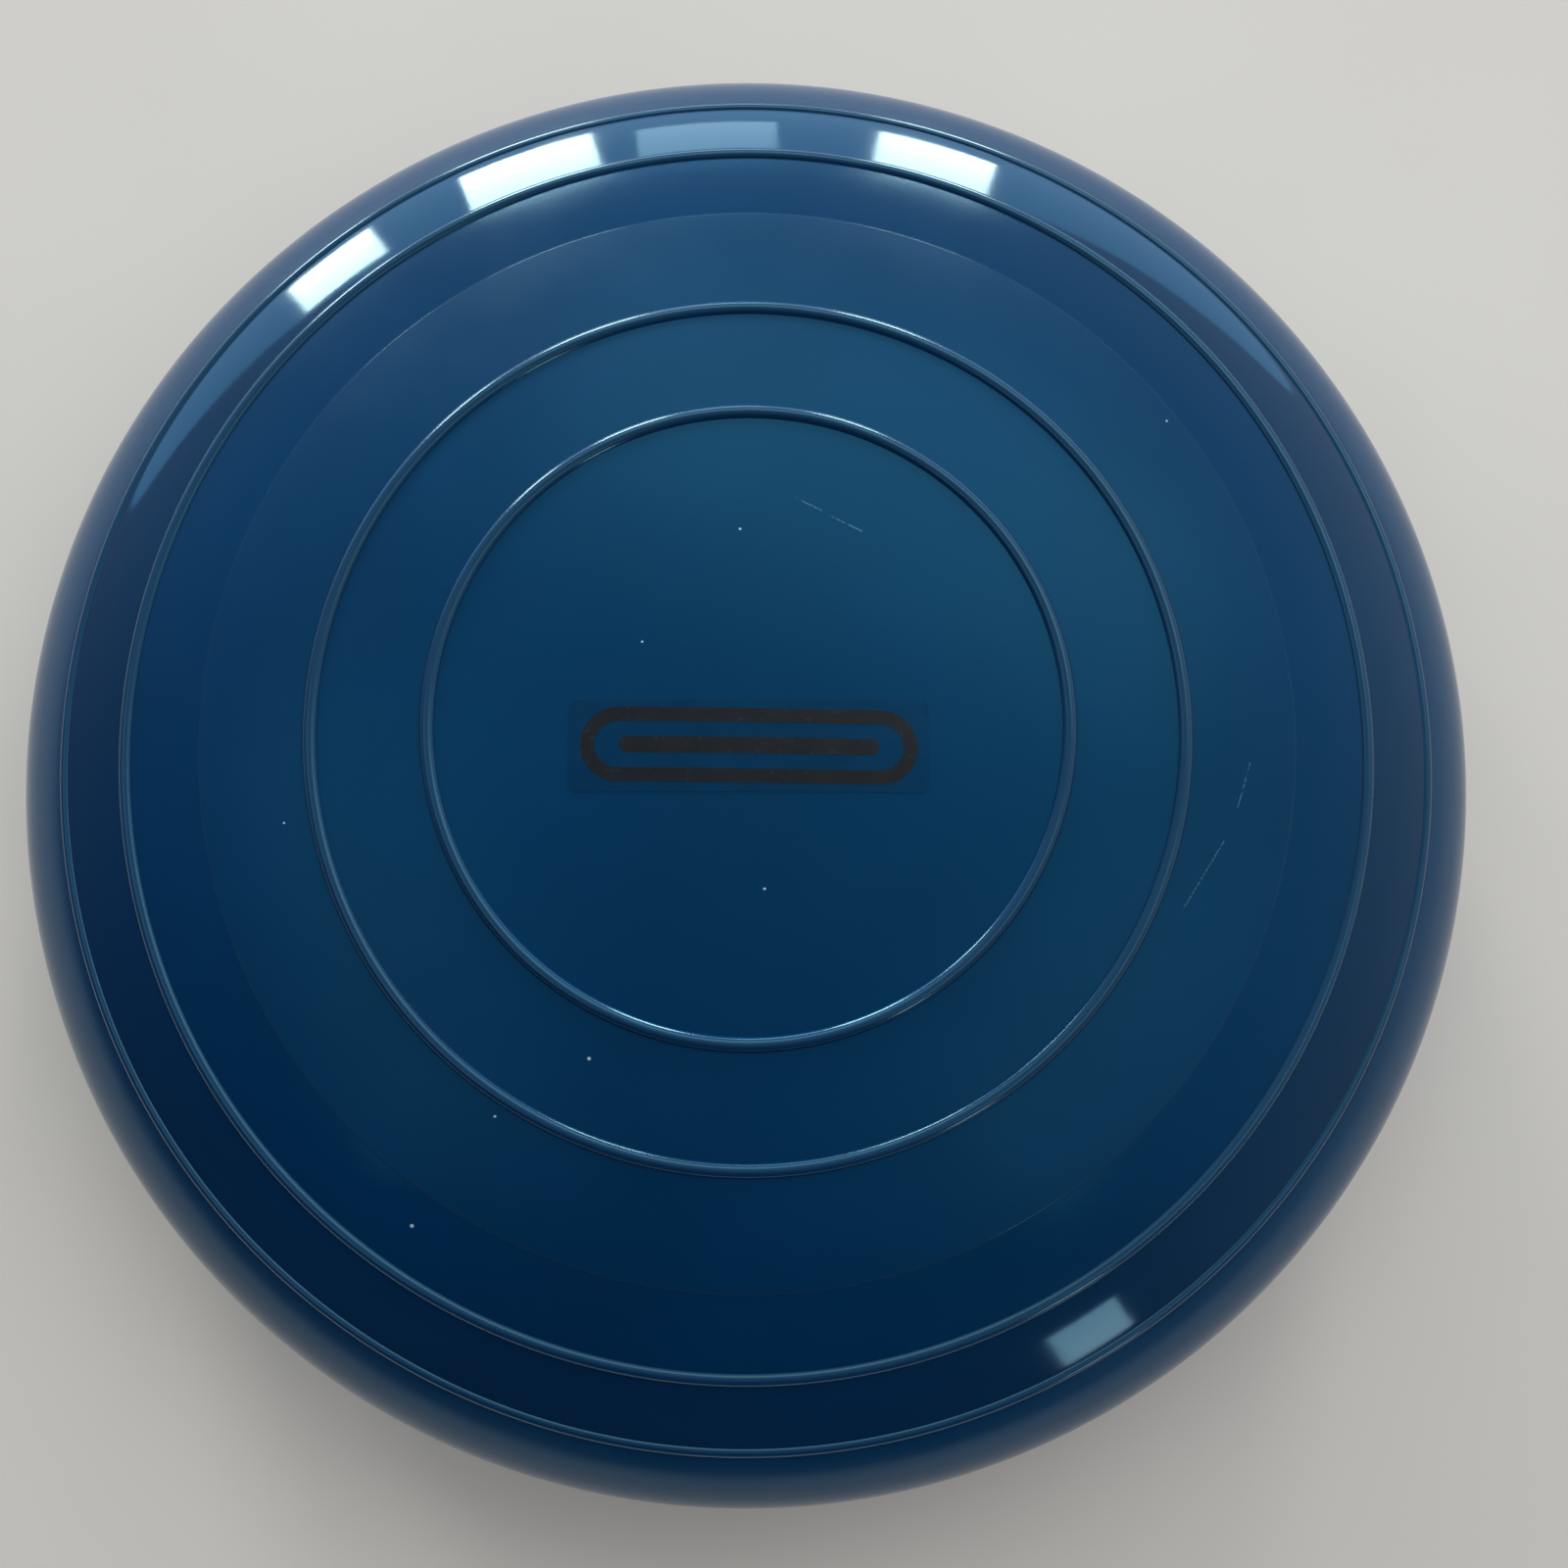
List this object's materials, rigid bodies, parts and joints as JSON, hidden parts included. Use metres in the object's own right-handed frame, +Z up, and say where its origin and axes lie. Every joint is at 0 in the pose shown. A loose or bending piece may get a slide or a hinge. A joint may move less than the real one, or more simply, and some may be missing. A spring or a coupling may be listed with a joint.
{
  "type": "balance dome trainer",
  "caption": "Low inflatable balance dome with moulded ring beads, clamped to a round rigid platform with rubber feet, finger recesses and an air valve.",
  "frame": {"origin": "on the floor, on the dome's axis, under the middle of the six feet", "axes": "+Z up along the dome's axis, towards the crown; X through the two finger recesses; the air valve is on the -Y side"},
  "size_m": [0.6, 0.6, 0.1702],
  "materials": {
    "dome_pvc": "glossy moulded PVC, deep petrol blue, satin on the crown",
    "mark_film": "clear transfer film with a near-black printed mark",
    "platform_plastic": "black moulded plastic, fine grain",
    "screw_steel": "zinc plated steel",
    "foot_rubber": "matt black rubber",
    "valve_pvc": "soft black PVC",
    "plug_plastic": "off-white plastic"
  },
  "bodies": {
    "platform": {"base_tray": "platform_plastic", "deck_plate": "platform_plastic", "rim_ring": "platform_plastic", "valve_insert": "valve_pvc", "ring_screw_01": "screw_steel", "ring_screw_02": "screw_steel", "ring_screw_03": "screw_steel", "ring_screw_04": "screw_steel", "ring_screw_05": "screw_steel", "ring_screw_06": "screw_steel", "ring_screw_07": "screw_steel", "ring_screw_08": "screw_steel", "ring_screw_09": "screw_steel", "ring_screw_10": "screw_steel", "ring_screw_11": "screw_steel", "ring_screw_12": "screw_steel", "deck_screw_1": "screw_steel", "deck_screw_2": "screw_steel", "deck_screw_3": "screw_steel", "deck_screw_4": "screw_steel", "deck_screw_5": "screw_steel", "deck_screw_6": "screw_steel", "foot_1": "foot_rubber", "foot_2": "foot_rubber", "foot_3": "foot_rubber", "foot_4": "foot_rubber", "foot_5": "foot_rubber", "foot_6": "foot_rubber"},
    "dome": {"dome_bladder": "dome_pvc", "crown_mark": "mark_film"},
    "plug": {"valve_plug": "plug_plastic"}
  },
  "joints": [
    {"name": "dome_press", "type": "slide", "parent": "platform", "child": "dome", "axis": [0, 0, -1], "range_m": [0, 0.03], "stiffness_N_per_m": 22000, "springref_m": -0.0013, "deforming": ["dome_bladder"]},
    {"name": "plug_pull", "type": "slide", "parent": "platform", "child": "plug", "axis": [0, -0.8506, -0.5259], "range_m": [0, 0.02]}
  ]
}
